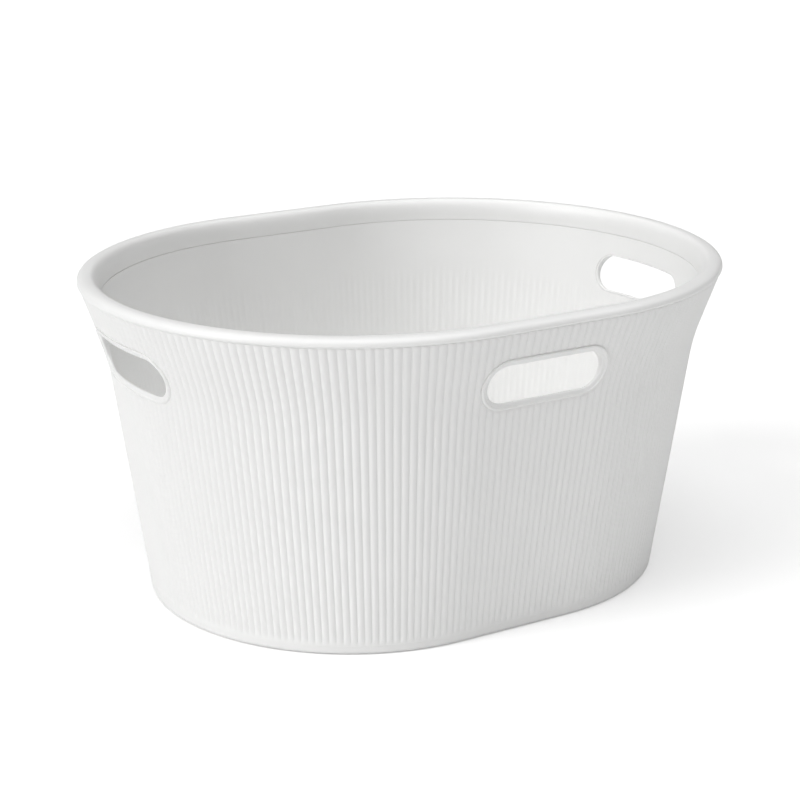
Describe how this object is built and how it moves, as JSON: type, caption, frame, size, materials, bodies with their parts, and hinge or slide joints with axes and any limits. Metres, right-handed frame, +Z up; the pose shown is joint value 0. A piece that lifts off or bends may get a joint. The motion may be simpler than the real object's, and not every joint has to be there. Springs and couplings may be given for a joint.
{
  "type": "laundry basket",
  "caption": "Oval open-top laundry basket with a ribbed tapering wall, a flared collar, a rolled rim ring, a floor tray and framed hand grips.",
  "frame": {"origin": "centre of the footprint, on the surface the basket stands on", "axes": "+X along the length to the right-hand end grip, -Y towards the side that has a grip, +Z up"},
  "size_m": [0.5898, 0.48, 0.291],
  "materials": {
    "ribbed_wall": "satin moulded polypropylene, ribbed outside",
    "tray": "satin moulded polypropylene",
    "rim": "smooth satin moulded polypropylene",
    "grip": "smooth satin moulded polypropylene"
  },
  "bodies": {
    "root": {"basket_wall": "ribbed_wall", "floor_tray": "tray", "rim_ring": "rim", "grip_frame_left": "grip", "grip_frame_front": "grip", "grip_frame_right": "grip"}
  },
  "joints": []
}
